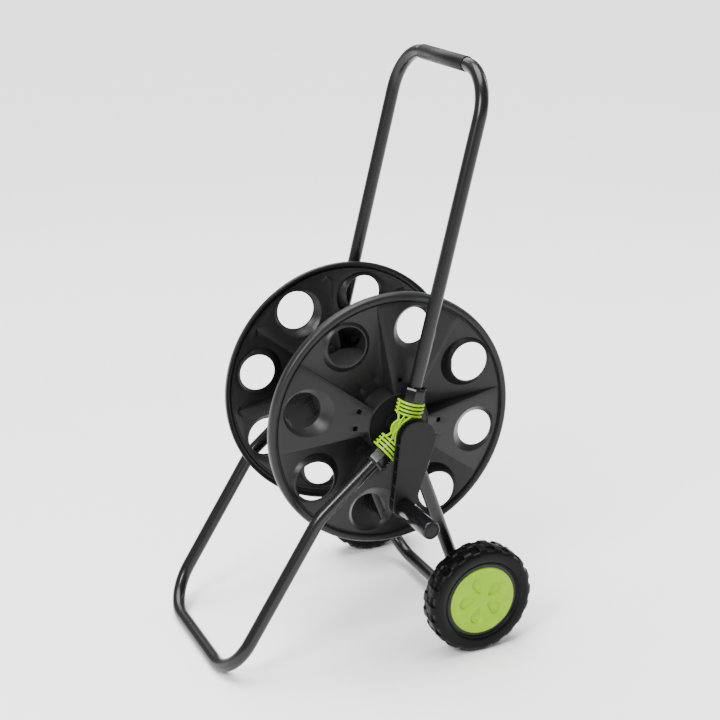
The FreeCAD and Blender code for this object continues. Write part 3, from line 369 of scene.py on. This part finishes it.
for side, side_frame in SIDES.items():
    shells = []
    for leg, left in (("handle", -1), ("foot", 1)):
        place = socket_frame(side, leg)
        for i in range(4):
            distance = RIB_START + i * RIB_PITCH
            reach = 84 if i else 40
            shells.append(rib(place, distance, left * 114, -left * reach, 1.7))
        post_x = left * POST_RADIUS * math.sin(math.radians(88))
        post_y = -POST_RADIUS * math.cos(math.radians(88))
        post = [place @ Vector((post_x, post_y, d))
                for d in (RIB_START - 1.5, RIB_START + 8, RIB_START + 3 * RIB_PITCH + 1)]
        shells.append(sweep(post, rod_section(1.5, 1.5)))

    def spot(angle, radius, height):
        x, y = flat_spot(angle, radius)
        return side_frame @ Vector((x, y, height))

    strands = [
        [spot(113, 32.7, 141), spot(123, 29.8, 147.5), spot(147, 27.8, 151.5),
         spot(172, 29.8, 147.5), spot(182, 32.8, 141)],
        [spot(82, 27.5, 153.6), spot(108, 24, 154.4), spot(147, 22.6, 154.6),
         spot(186, 24, 154.4), spot(213, 27.5, 153.6)],
        [spot(103, 30.5, 150.5), spot(126, 27.2, 153.8), spot(168, 23.8, 154.6), spot(196, 24.5, 154.2)],
        [spot(98, 24.5, 154.2), spot(127, 23.8, 154.6), spot(168, 27.2, 153.8), spot(190, 30.5, 150.5)],
    ]
    for number, stops in enumerate(strands):
        section = rod_section(1.6, 1.5) if number < 2 else rod_section(1.15, 1.0)
        shells.append(sweep(curve_line(stops), section))
    web_angles = [108 + 79 * i / 12 for i in range(13)]
    web = [flat_spot(a, 22.8) for a in web_angles] + [flat_spot(a, 27.6) for a in reversed(web_angles)]
    shells.append(prism(web, [(152.5, 1), (153.9, 1)], side_frame))
    ear = []
    for i in range(21):
        t = i / 20
        swell = math.sin(math.pi * t) ** 0.9
        ear.append(flat_spot(120 + 52 * t, 29 + 5.2 * swell))
    ear += [flat_spot(a, 27) for a in range(172, 120, -6)]
    shells.append(prism(ear, [(149.5, 0.985), (150.2, 1), (151.8, 1), (152.6, 0.985)], side_frame))
    points, faces = merge(*shells)
    build(side + "_ribbed_clip", points, faces, lime_plastic, "frame",
          [side + "_clip"], sharp=50)

# ---------------------------------------------------------------- tube screws
# Black plated self-tapping screws, driven from the reel side through the collars into the tubes.
# The axle bolts, washers and nuts and the crank's pin are bright zinc plated steel.
zinc = finish("zinc_plate", (0.3, 0.3, 0.31), 0.4, mottle=0.1, grain=500, depth=0.08, patch=120)
zinc.node_tree.nodes["Principled BSDF"].inputs["Metallic"].default_value = 1
black_plate = finish("black_plate", (0.006, 0.006, 0.0065), 0.4, mottle=0.1, grain=500, depth=0.08,
                     patch=120, sheen=0.2)


def cover(name, look):
    """Give one of the CAD solids its look."""
    mesh = frame["nodes"][name].data
    mesh.materials.clear()
    mesh.materials.append(look)


cover("bracket_screws", black_plate)

# ---------------------------------------------------------------- reel flanges
# A flange is a thin moulding of eight ramps. A sunk ramp's hole stands out as a cone and a raised
# one's sinks as a funnel. The square windows near the core take its hooks in the sunk ramps and
# are blind pockets in the raised ones.
FLANGE_RADIUS = 195
RAMP_EDGE = 181
RIM_LEVEL = 92
HUB_LEVEL = 115
SUNK_LEVEL = 78
HUB_RADIUS = 49
HOLE_CIRCLE = 146
HOLE = 29.5
RIM_FACE = 96
WALL = 2.4
FIRST_RAMP = 30
black_plastic = finish("black_plastic", (0.0095, 0.0095, 0.01), 0.36, mottle=0.14, grain=1100,
                       depth=0.2, patch=14, spread=0.06, sheen=0.22)


def ramp_level(radius, raised):
    share = min(1, max(0, (radius - HUB_RADIUS) / (RAMP_EDGE - HUB_RADIUS)))
    low = HUB_LEVEL - 0.9 if raised else SUNK_LEVEL
    return low + (RIM_LEVEL - low) * share


def ramp_outline():
    """Directions from a hole's middle to its ramp's edge, evenly spread, with the distance to it."""
    half = math.radians(22.5)
    corner_out = math.atan2(RAMP_EDGE * math.sin(half), RAMP_EDGE * math.cos(half) - HOLE_CIRCLE)
    corner_in = math.atan2(HUB_RADIUS * math.sin(half), HUB_RADIUS * math.cos(half) - HOLE_CIRCLE)
    outline = []

    def add(first, last, steps, kind):
        for i in range(steps):
            angle = first + (last - first) * i / steps
            c, s = math.cos(angle), math.sin(angle)
            middle = HOLE_CIRCLE * c
            if kind == "rim":
                reach = -middle + math.sqrt(middle ** 2 + RAMP_EDGE ** 2 - HOLE_CIRCLE ** 2)
            elif kind == "hub":
                reach = -middle - math.sqrt(max(0, middle ** 2 + HUB_RADIUS ** 2 - HOLE_CIRCLE ** 2))
            else:
                lean = half if math.sin(angle) > 0 else -half
                reach = HOLE_CIRCLE * math.sin(lean) / (s * math.cos(lean) - c * math.sin(lean))
            outline.append((angle, reach, kind))

    add(-corner_out, corner_out, 22, "rim")
    add(corner_out, corner_in, 24, "left")
    add(corner_in, 2 * math.pi - corner_in, 7, "hub")
    add(2 * math.pi - corner_in, 2 * math.pi - corner_out, 24, "right")
    return outline


def flange_sheet():
    """The flange's outer skin, as points (x, y, height above the middle of the reel) and faces."""
    points, faces = [], []
    outline = ramp_outline()
    count = len(outline)
    rings = (0, 0.05, 0.3, 0.62, 1)
    rim_profile = ((182, 90.6), (183.3, 90.5), (184, 93.6), (185.2, 95.1), (187, 95.8),
                   (189.2, RIM_FACE), (191.4, 95.5), (193.2, 94.2), (194.4, 92.2),
                   (FLANGE_RADIUS, 89.6), (FLANGE_RADIUS, 84.2))
    hub_profile = ((HUB_RADIUS, 114.7), (48.8, 115.4), (48.2, 115.9), (47.3, 115.9), (46.7, 115.4),
                   (46.4, 114.9), (30, 114.9), (15.2, 114.9))
    for k in range(8):
        raised = k % 2 == 1
        turn_angle = math.radians(FIRST_RAMP + 45 * k)
        ct, st = math.cos(turn_angle), math.sin(turn_angle)
        base = len(points)

        def put(x, y, height):
            points.append((x * ct - y * st, x * st + y * ct, height))

        def foot(angle):
            """Where the hole's wall meets the ramp, straight out from the hole's middle."""
            reach = HOLE + 5
            for _ in range(8):
                x = HOLE_CIRCLE + reach * math.cos(angle)
                y = reach * math.sin(angle)
                level = ramp_level(math.hypot(x, y), raised)
                if raised:
                    reach = 28 + 1.0 * (level - 89.1)
                else:
                    reach = HOLE + WALL + 0.84 * (RIM_FACE - level)
            return reach

        feet = [foot(angle) for angle, _, _ in outline]
        for share in rings:
            for (angle, edge, _), start in zip(outline, feet):
                reach = start + (edge - start) * share
                x = HOLE_CIRCLE + reach * math.cos(angle)
                y = reach * math.sin(angle)
                put(x, y, ramp_level(math.hypot(x, y), raised))
        for i in range(len(rings) - 1):
            for j in range(count):
                n = (j + 1) % count
                faces.append((base + i * count + j, base + i * count + n,
                              base + (i + 1) * count + n, base + (i + 1) * count + j))
        if raised:
            walls = [(28.6, 89.7), (28.0, 89.1)]
        else:
            walls = [(HOLE + WALL + 0.5, RIM_FACE - 0.6), (HOLE + WALL - 0.3, RIM_FACE),
                     (HOLE + 0.5, RIM_FACE)]
        lip, lip_level = walls[0]
        halfway = []
        for (angle, _, _), start in zip(outline, feet):
            foot_x = HOLE_CIRCLE + start * math.cos(angle)
            foot_y = start * math.sin(angle)
            level = ramp_level(math.hypot(foot_x, foot_y), raised)
            halfway.append((start + (lip - start) * 0.5, level + (lip_level - level) * 0.5))
        last = base
        for wall_row in [halfway] + [[wall] * count for wall in walls]:
            start = len(points)
            for (angle, _, _), (radius, height) in zip(outline, wall_row):
                put(HOLE_CIRCLE + radius * math.cos(angle), radius * math.sin(angle), height)
            for j in range(count):
                n = (j + 1) % count
                faces.append((last + n, last + j, start + j, start + n))
            last = start
        edge_row = base + (len(rings) - 1) * count
        rim_row = [j for j in range(count) if outline[j][2] == "rim"]
        rim_row.append(rim_row[-1] + 1)
        hub_row = [j for j in range(count) if outline[j][2] == "hub"]
        hub_row.append(hub_row[-1] + 1)
        for row, profile in ((rim_row, rim_profile), (hub_row, hub_profile)):
            before = [edge_row + j for j in row]
            for radius, height in profile:
                start = len(points)
                for j in row:
                    x, y, _ = points[edge_row + j]
                    scale = radius / math.hypot(x, y)
                    points.append((x * scale, y * scale, height))
                now = list(range(start, start + len(row)))
                for a, b, c, d in zip(before, before[1:], now[1:], now):
                    faces.append((b, a, d, c))
                before = now
        if raised:
            for kind, way in (("left", 1), ("right", -1)):
                row = [j for j in range(count) if outline[j][2] == kind]
                row.append((row[-1] + 1) % count)
                start = len(points)
                for j in row:
                    x, y, height = points[edge_row + j]
                    points.append((x, y, ramp_level(math.hypot(x, y), False)))
                for i in range(len(row) - 1):
                    faces.append((edge_row + row[i], edge_row + row[i + 1], start + i + 1, start + i))
    return points, faces


sheet_points, sheet_faces = flange_sheet()
WINDOW = 7
WINDOW_CIRCLE = 68
HOOK_DEPTH = 3
HOOK_WIDTH = 5
HOOK_GAP = 0.2
for side, side_frame in SIDES.items():
    points = [side_frame @ Vector(point) for point in sheet_points]
    flange = build(side + "_flange_moulding", points, sheet_faces, black_plastic, "reel",
                   [side + "_flange"], sharp=28)
    outward = side_frame.to_3x3() @ Vector((0, 0, 1))
    shape = bmesh.new()
    shape.from_mesh(flange.data)
    bmesh.ops.remove_doubles(shape, verts=shape.verts, dist=2e-5)
    bmesh.ops.recalc_face_normals(shape, faces=shape.faces)
    shape.faces.ensure_lookup_table()
    widest = max(shape.faces, key=lambda face: face.calc_area())
    if widest.normal.dot(outward) < 0:
        bmesh.ops.reverse_faces(shape, faces=shape.faces)
    shape.to_mesh(flange.data)
    shape.free()
    thick = flange.modifiers.new("wall", "SOLIDIFY")
    thick.thickness = WALL / 1000
    thick.offset = -1
    thick.use_even_offset = True
    thick.thickness_clamp = 1.5
    cutter_parts = []
    pockets = []
    for i in range(8):
        for way in (-1, 1):
            raised = i % 2 == 1
            angle = math.radians(FIRST_RAMP + 45 * i + way * 11)
            spot_frame = (side_frame @ Matrix.Rotation(angle, 4, "Z")
                          @ Matrix.Translation((WINDOW_CIRCLE, 0, 0)))
            deep, wide = HOOK_DEPTH / 2 + HOOK_GAP, HOOK_WIDTH / 2 + HOOK_GAP
            if raised:
                deep = wide = WINDOW / 2
            square = [(-deep, -wide), (deep, -wide), (deep, wide), (-deep, wide)]
            cutter_parts.append(prism(square, [(100 if raised else 60, 1), (130, 1)], spot_frame))
            if raised:
                cup_levels = [(103.4, 1.23), (109.3, 1.23), (109.3, 1), (104.2, 1)]
                pockets.append(prism(square, cup_levels, spot_frame))
    pocket_points, pocket_faces = merge(*pockets)
    build(side + "_blind_windows", pocket_points, pocket_faces, black_plastic, "reel")
    cutter_points, cutter_faces = merge(*cutter_parts)
    cutter = build("window_cutter", cutter_points, cutter_faces, black_plastic, "reel")
    windows = flange.modifiers.new("windows", "BOOLEAN")
    windows.object = cutter
    windows.operation = "DIFFERENCE"
    windows.solver = "EXACT"
    soften = flange.modifiers.new("soft_edges", "BEVEL")
    soften.width = 0.0006
    soften.segments = 2
    soften.limit_method = "ANGLE"
    soften.angle_limit = math.radians(30)
    bpy.context.view_layer.update()
    depsgraph = bpy.context.evaluated_depsgraph_get()
    finished = bpy.data.meshes.new_from_object(flange.evaluated_get(depsgraph))
    flange.modifiers.clear()
    flange.data = finished
    for face in finished.polygons:
        face.use_smooth = True
    finished.set_sharp_from_angle(angle=math.radians(32))
    bpy.data.objects.remove(cutter)

# ---------------------------------------------------------------- core and journals
# The core is four quarter shells of the same black plastic, hooked into the flanges' windows. A
# round spindle and a hollow journal plug into the hubs and turn in the brackets.
for name in ("core_panel_1", "core_panel_2", "core_panel_3", "core_panel_4",
             "crank_spindle", "inlet_journal"):
    cover(name, black_plastic)

# ---------------------------------------------------------------- crank arm
# A black moulding of two flat plates on a narrower web, open at the sides with ribs across. Its
# round head fits the spindle's square end, and the grip's pin is riveted in its tip.
ARM_LOW = 162
ARM_HIGH = 180
PLATE = 3
HEAD = 28
TIP = 17
ARM_REACH = 103
ARM_LEAN = 12.9
arm_frame = SIDES["crank_side"] @ Matrix.Rotation(math.radians(-ARM_LEAN), 4, "Z")
arm_plastic = finish("arm_plastic", (0.007, 0.007, 0.0075), 0.42, mottle=0.1, grain=1300,
                     depth=0.22, patch=25, spread=0.05, sheen=0.15)


def arm_outline(inset):
    """A big circle and a small one, hugged by a belt; the tip is straight below the head."""
    head, tip = HEAD - inset, TIP - inset
    tilt = math.asin((head - tip) / ARM_REACH)
    outline = []
    for i in range(29):
        angle = -tilt + (math.pi + 2 * tilt) * i / 28
        outline.append((head * math.cos(angle), head * math.sin(angle)))
    for i in range(21):
        angle = math.pi + tilt + (math.pi - 2 * tilt) * i / 20
        outline.append((tip * math.cos(angle), tip * math.sin(angle) - ARM_REACH))
    return outline


shells = [
    prism(arm_outline(0), [(ARM_LOW, 1), (ARM_LOW + PLATE, 1)], arm_frame),
    prism(arm_outline(6), [(ARM_LOW + 1, 1), (ARM_HIGH - 1, 1)], arm_frame),
    prism(arm_outline(0), [(ARM_HIGH - PLATE, 1), (ARM_HIGH - 0.01, 1)], arm_frame),
]
for i in range(5):
    share = (i + 0.6) / 5
    half = HEAD + (TIP - HEAD) * share - 0.8
    low = -ARM_REACH * share
    bar_outline = [(-half, low - 1), (half, low - 1), (half, low + 1), (-half, low + 1)]
    shells.append(prism(bar_outline, [(ARM_LOW + 1, 1), (ARM_HIGH - 1, 1)], arm_frame))
points, faces = merge(*shells)
build("crank_arm_moulding", points, faces, arm_plastic, "reel",
      ["crank_arm"], sharp=30, bevel=0.7)
cover("crank_pin", zinc)

# ---------------------------------------------------------------- crank grip
# A glossy tapered sleeve that turns on the crank's pin, closed with a pressed-in matt disc.
GRIP_LOW = 180.5
GRIP_HIGH = 266.45
GRIP_ROOT = 14.2
GRIP_TIP = 13.3
PIN_HOLE = 4.1
DISC_SEAT = GRIP_HIGH - 2.4
grip_frame = arm_frame @ Matrix.Translation((0, -ARM_REACH, 0))
grip_outline = [(PIN_HOLE, GRIP_LOW), (GRIP_ROOT - 0.8, GRIP_LOW), (GRIP_ROOT, GRIP_LOW + 0.8),
                (GRIP_TIP + 0.1, GRIP_HIGH - 3), (GRIP_TIP - 0.3, GRIP_HIGH - 1),
                (GRIP_TIP - 1.2, GRIP_HIGH), (GRIP_TIP - 2.2, GRIP_HIGH),
                (GRIP_TIP - 2.5, GRIP_HIGH - 0.4), (GRIP_TIP - 2.5, DISC_SEAT), (PIN_HOLE, DISC_SEAT)]
points, faces = turn(grip_outline, grip_frame)
build("crank_grip_sleeve", points, faces, gloss_plastic, "grip",
      ["crank_grip"], sharp=50)
disc_outline = [(0.01, DISC_SEAT), (GRIP_TIP - 2.6, DISC_SEAT), (GRIP_TIP - 2.6, GRIP_HIGH - 1),
                (GRIP_TIP - 3, GRIP_HIGH - 0.6), (3, GRIP_HIGH - 0.9), (0.01, GRIP_HIGH - 1)]
points, faces = turn(disc_outline, grip_frame)
build("grip_end_disc", points, faces, arm_plastic, "grip", ["grip_end_cap"], sharp=50)

# ---------------------------------------------------------------- wheels
# A hollow black tyre with two rows of staggered tread pockets runs on a moulded hub. A lime cap
# with five teardrop dimples is pressed into the hub's outer face.
WHEEL_RADIUS = 85
WHEEL_WIDTH = 42
BORE = 58
SHOULDER = 78
BLOCKS = 20
PITCH = 2 * math.pi * WHEEL_RADIUS / BLOCKS
CAP_RADIUS = 53.3
CAP_FACE = 38
tyre_plastic = finish("tyre_plastic", (0.0028, 0.0028, 0.0032), 0.34, mottle=0.15, grain=800,
                      depth=0.2, patch=45, sheen=0.09)
WHEELS = {}
for side, way in (("crank_side", -1), ("inlet_side", 1)):
    low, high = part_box(side + "_tyre")
    inner = min(abs(low.y), abs(high.y)) * 1000
    centre = joint_place[side + "_wheel_spin"]
    stand = Matrix.Translation((centre.x, way * inner, centre.z))
    if way > 0:
        stand = stand @ MIRROR
    WHEELS[side] = stand @ OUTWARDS


def tread_depth(offset, height):
    """How far the tread is sunk, at an arc offset inside one pitch and a height across the wheel."""
    depth = 0
    for middle, inside in ((0, WHEEL_WIDTH / 2 - height), (PITCH / 2, height - WHEEL_WIDTH / 2)):
        gap = abs((offset - middle + PITCH / 2) % PITCH - PITCH / 2)
        across = min(1, max(0, (7.2 - gap) / 1.1))
        along_width = min(1, max(0, (inside - 5.4) / 1.2))
        depth = max(depth, 4 * across * along_width)
    return depth


def tyre_shell(place):
    """A closed tyre: rounded side walls, a sunk tread and a channel inside for the hub's rim."""
    columns = []
    for offset in (0, 3, 6.1, 7.2, 9, 10.7, 13.35):
        columns += [offset, -offset if offset and offset < 13 else offset]
    columns = sorted({round(c % PITCH, 3) for c in columns})
    outer = [(BORE, 4), (59.2, 2.6), (61, 2.3), (62, 3.2), (63, 2.2), (66, 1.1), (70, 0.2), (74, 0),
             (77.5, 0.7), (80.2, 2.0), (82.4, 3.9), (84.1, 6.4)]
    outer += [(WHEEL_RADIUS, height) for height in (9.5, 12.5, 14.4, 15.6, 18.3)]
    profile = outer + [(WHEEL_RADIUS, 21)] + [(r, WHEEL_WIDTH - h) for r, h in reversed(outer)]
    profile += [(BORE, 33), (75.5, 33), (76, 32.5), (76, 9.5), (75.5, 9), (BORE, 9)]
    tread_rows = len(outer) * 2 + 1
    points, faces = [], []
    for block in range(BLOCKS):
        for offset in columns:
            angle = (block * PITCH + offset) / WHEEL_RADIUS
            for row, (radius, height) in enumerate(profile):
                if row < tread_rows and radius > SHOULDER:
                    own_row = offset if height < WHEEL_WIDTH / 2 else offset - PITCH / 2
                    gap = abs((own_row + PITCH / 2) % PITCH - PITCH / 2)
                    notch = 1.7 * min(1, max(0, (6.6 - gap) / 1.6)) * min(1, (radius - SHOULDER) / 4)
                    radius = min(radius - notch, WHEEL_RADIUS - tread_depth(offset, height))
                points.append(place @ Vector((radius * math.cos(angle), radius * math.sin(angle), height)))
    count = len(profile)
    total = BLOCKS * len(columns)
    for i in range(total):
        n = (i + 1) % total
        for j in range(count):
            k = (j + 1) % count
            faces.append((i * count + j, n * count + j, n * count + k, i * count + k))
    return points, faces


def dimple_depth(x, y):
    """A teardrop that widens outwards, from a small circle to a big one on the same ray."""
    best = 9
    for i in range(5):
        angle = math.radians(34 + 72 * i)
        u = x * math.cos(angle) + y * math.sin(angle)
        v = abs(-x * math.sin(angle) + y * math.cos(angle))
        inner, outer, small, big = 15, 29, 3.6, 10.2
        span = outer - inner
        slope = (big - small) / span
        level = math.sqrt(1 - slope ** 2)
        p = u - inner
        k = v * slope + p * level
        if level * p + slope * v < 0:
            away = math.hypot(p, v) - small
        elif level * p + slope * v > level * span:
            away = math.hypot(p - span, v) - big
        else:
            away = v * level - p * slope - small
        best = min(best, away)
    share = min(1, max(0, -best / 2.2))
    return 2.8 * share ** 0.8


def cap_shell(place):
    """A slightly domed disc with a raised rim, drawn on a fine grid so that the dimples are crisp."""
    rim_rise = {49.6: 0.45, 50.2: 0.8, 51.4: 0.95, 52.4: 0.8, 53: 0.35, CAP_RADIUS: -0.6}
    radii = [0.01] + [0.7 * i for i in range(1, 69)] + [48.2, 49] + list(rim_rise)
    sides = 300
    points, faces = [], []
    for radius in radii:
        for i in range(sides):
            angle = 2 * math.pi * i / sides
            x, y = radius * math.cos(angle), radius * math.sin(angle)
            height = CAP_FACE + rim_rise.get(radius, 0.6 * (1 - (radius / CAP_RADIUS) ** 2))
            points.append(place @ Vector((x, y, height - dimple_depth(x, y))))
    for radius, height in ((CAP_RADIUS, CAP_FACE - 3), (0.01, CAP_FACE - 3)):
        for i in range(sides):
            angle = 2 * math.pi * i / sides
            points.append(place @ Vector((radius * math.cos(angle), radius * math.sin(angle), height)))
    rows = len(radii) + 2
    for row in range(rows):
        after = (row + 1) % rows
        for i in range(sides):
            n = (i + 1) % sides
            faces.append((row * sides + i, row * sides + n, after * sides + n, after * sides + i))
    return points, faces


for side, place in WHEELS.items():
    body = side + "_wheel"
    points, faces = tyre_shell(place)
    build(side + "_tyre_tread", points, faces, tyre_plastic, body, [side + "_tyre"], sharp=32)
    points, faces = cap_shell(place)
    build(side + "_wheel_dish", points, faces, lime_plastic, body,
          [side + "_wheel_cap"], sharp=60)
    for name, look in (("_wheel_hub", black_plastic), ("_wheel_bush", sleeve_plastic),
                       ("_axle_bolt", zinc), ("_axle_washer", zinc), ("_axle_nut", zinc),
                       ("_axle_spacer", black_plastic)):
        cover(side + name, look)

# ---------------------------------------------------------------- water way
# Water comes in at a swivelling elbow on the far side, runs through the hollow journal and leaves
# through a nipple on the core. It is black plastic, with rubber seals and a pale nylon lock ring.
seal_rubber = finish("seal_rubber", (0.01, 0.01, 0.01), 0.6, grain=600, depth=0.1)
nylon = finish("nylon", (0.6, 0.6, 0.57), 0.4, mottle=0.04, grain=600, depth=0.05)
for name, look in (("water_pipe", black_plastic), ("outlet_nipple", gloss_plastic),
                   ("inlet_elbow", gloss_plastic), ("inlet_seals", seal_rubber),
                   ("nipple_seal", seal_rubber), ("inlet_lock_ring", nylon)):
    cover(name, look)

# ---------------------------------------------------------------- studio
# A pale floor, soft light from three sides, an even light from above and a camera. The world gives
# the same white light all round.
bpy.ops.mesh.primitive_plane_add(size=80, location=(0, 0, 0))
floor = bpy.context.object
floor.name = "studio_floor"
pale_floor = finish("pale_floor", (0.94, 0.94, 0.94), 0.8, mottle=0.01, grain=50, depth=0.02, patch=2)
floor.data.materials.append(pale_floor)

world = bpy.data.worlds.new("studio")
bpy.context.scene.world = world
world.use_nodes = True
sky = world.node_tree.nodes["Background"]
sky.inputs["Color"].default_value = (1, 1, 1, 1)
sky.inputs["Strength"].default_value = 0.5


def softbox(name, place, aim, size, power):
    light = bpy.data.lights.new(name, "AREA")
    light.shape = "RECTANGLE"
    light.size, light.size_y = size
    light.energy = power
    holder = bpy.data.objects.new(name, light)
    holder.location = place
    holder.rotation_euler = (Vector(aim) - Vector(place)).to_track_quat("-Z", "Y").to_euler()
    bpy.context.scene.collection.objects.link(holder)


softbox("key_light", (-1.9, -1.3, 2.1), (0, 0, 0.4), (0.8, 1.2), 95)
softbox("side_light", (2.2, 0.2, 1.5), (0, 0, 0.4), (0.4, 1.8), 18)
softbox("back_light", (0.3, 2.0, 2.2), (0, 0, 0.5), (2.0, 1.0), 25)

ceiling = bpy.data.objects.new("ceiling_light", bpy.data.lights.new("ceiling_light", "SUN"))
ceiling.data.energy = 6.5
ceiling.data.angle = math.radians(50)
ceiling.rotation_euler = (math.radians(-8), math.radians(-5), 0)
bpy.context.scene.collection.objects.link(ceiling)

middle = Vector((-0.0073, 0, 0.4418))
turn_by, rise_by, away = math.radians(-24.82), math.radians(19.22), 2.3295
camera = bpy.data.objects.new("camera", bpy.data.cameras.new("camera"))
bpy.context.scene.collection.objects.link(camera)
camera.location = middle + away * Vector((math.cos(rise_by) * math.sin(turn_by),
                                          -math.cos(rise_by) * math.cos(turn_by), math.sin(rise_by)))
look = (middle - camera.location).to_track_quat("-Z", "Y")
camera.rotation_euler = (look.to_matrix() @ Matrix.Rotation(math.radians(-0.4), 3, "Z")).to_euler()
camera.data.lens = 77.2
camera.data.sensor_width = 36
camera.data.shift_x = -0.0008
camera.data.shift_y = -0.0212
bpy.context.scene.camera = camera
